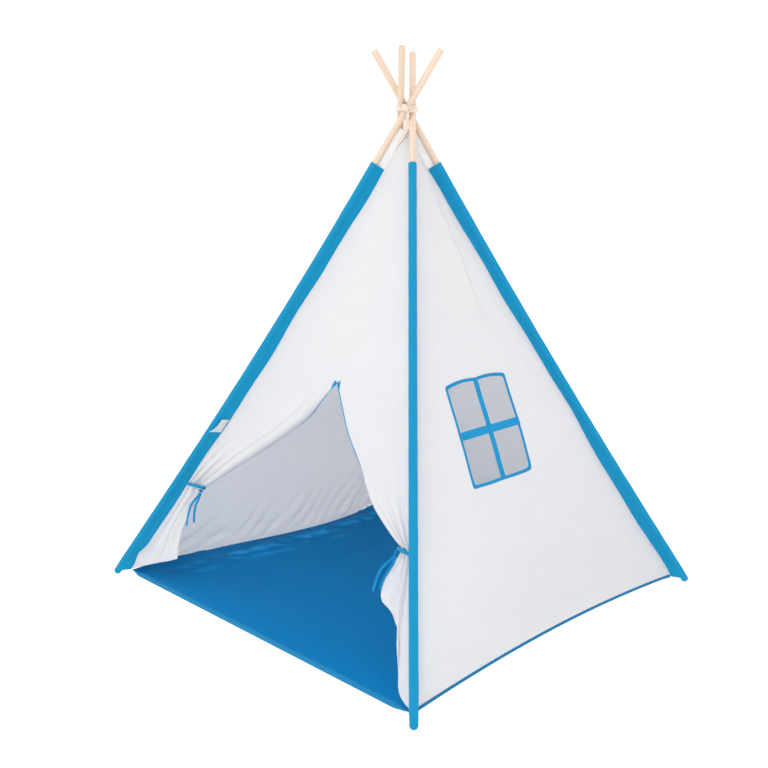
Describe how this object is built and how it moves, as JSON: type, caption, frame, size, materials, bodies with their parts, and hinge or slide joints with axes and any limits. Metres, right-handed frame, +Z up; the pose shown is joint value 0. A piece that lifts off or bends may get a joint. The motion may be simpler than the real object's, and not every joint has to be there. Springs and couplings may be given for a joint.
{
  "type": "kids play teepee",
  "caption": "Kids play teepee: wooden poles in blue sleeves, white cotton cover with tied-back door curtains, open window with tape bars, blue floor mat",
  "frame": {"origin": "centre of the base on the floor, under the crossing of the poles", "axes": "+Z up, -Y the door, +X the window wall"},
  "size_m": [1.2536, 1.2144, 1.505],
  "materials": {
    "pine": "satin",
    "zinc_plated_steel": "satin",
    "blue_cotton": "matte",
    "white_cotton": "matte",
    "blue_nylon": "satin",
    "blue_tape": "matte",
    "cream_cotton_tape": "matte"
  },
  "bodies": {
    "cover": {"door_panel": "white_cotton", "window_panel": "white_cotton", "rear_panel": "white_cotton", "side_panel": "white_cotton", "floor_mat": "blue_nylon", "door_sill_binding": "blue_tape", "window_hem": "blue_tape", "rear_hem": "blue_tape", "side_hem": "blue_tape", "window_frame": "blue_tape", "window_upright_tape": "blue_tape", "window_cross_tape": "blue_tape", "left_door_binding": "blue_tape", "right_door_binding": "blue_tape", "top_tie": "cream_cotton_tape", "top_tie_knot": "cream_cotton_tape", "top_tie_strap": "cream_cotton_tape"},
    "front_left_pole": {"front_left_pole_lower": "pine", "front_left_pole_middle": "pine", "front_left_pole_upper": "pine", "front_left_ferrule_lower": "zinc_plated_steel", "front_left_ferrule_upper": "zinc_plated_steel", "front_left_sleeve": "blue_cotton", "left_door_curtain": "white_cotton", "left_door_tie": "blue_tape", "left_door_tie_knot": "blue_tape", "left_door_tie_end_outer": "blue_tape", "left_door_tie_end_inner": "blue_tape", "seam_tab": "white_cotton"},
    "front_right_pole": {"front_right_pole_lower": "pine", "front_right_pole_middle": "pine", "front_right_pole_upper": "pine", "front_right_ferrule_lower": "zinc_plated_steel", "front_right_ferrule_upper": "zinc_plated_steel", "front_right_sleeve": "blue_cotton", "right_door_curtain": "white_cotton", "right_door_tie": "blue_tape", "right_door_tie_knot": "blue_tape", "right_door_tie_end_outer": "blue_tape", "right_door_tie_end_inner": "blue_tape"},
    "rear_right_pole": {"rear_right_pole_lower": "pine", "rear_right_pole_middle": "pine", "rear_right_pole_upper": "pine", "rear_right_ferrule_lower": "zinc_plated_steel", "rear_right_ferrule_upper": "zinc_plated_steel", "rear_right_sleeve": "blue_cotton"},
    "rear_left_pole": {"rear_left_pole_lower": "pine", "rear_left_pole_middle": "pine", "rear_left_pole_upper": "pine", "rear_left_ferrule_lower": "zinc_plated_steel", "rear_left_ferrule_upper": "zinc_plated_steel", "rear_left_sleeve": "blue_cotton"}
  },
  "joints": [
    {"name": "front_left_fold", "type": "hinge", "parent": "cover", "child": "front_left_pole", "pos_m": [0.01112, -0.0115, 1.357], "axis": [0.6952, -0.7188, 0], "range_deg": [0, 25], "deforming": ["front_left_sleeve", "door_panel", "side_panel", "left_door_binding", "floor_mat", "left_door_curtain", "side_hem", "door_sill_binding", "top_tie_strap"]},
    {"name": "front_right_fold", "type": "hinge", "parent": "cover", "child": "front_right_pole", "pos_m": [0.01112, 0.0115, 1.357], "axis": [0.6952, 0.7188, 0], "range_deg": [0, 25], "deforming": ["front_right_sleeve", "door_panel", "window_panel", "right_door_binding", "floor_mat", "right_door_curtain", "window_hem", "window_frame", "window_upright_tape", "window_cross_tape"]},
    {"name": "rear_right_fold", "type": "hinge", "parent": "cover", "child": "rear_right_pole", "pos_m": [-0.01112, 0.0115, 1.357], "axis": [-0.6952, 0.7188, 0], "range_deg": [0, 25], "deforming": ["rear_right_sleeve", "window_panel", "rear_panel", "floor_mat", "rear_hem"]},
    {"name": "rear_left_fold", "type": "hinge", "parent": "cover", "child": "rear_left_pole", "pos_m": [-0.01112, -0.0115, 1.357], "axis": [-0.6952, -0.7188, 0], "range_deg": [0, 25], "deforming": ["rear_left_sleeve", "rear_panel", "side_panel", "floor_mat"]}
  ],
  "couplings": [
    {"joint": "front_right_fold", "follows": "front_left_fold", "ratio": 1},
    {"joint": "rear_right_fold", "follows": "front_left_fold", "ratio": 1},
    {"joint": "rear_left_fold", "follows": "front_left_fold", "ratio": 1}
  ]
}
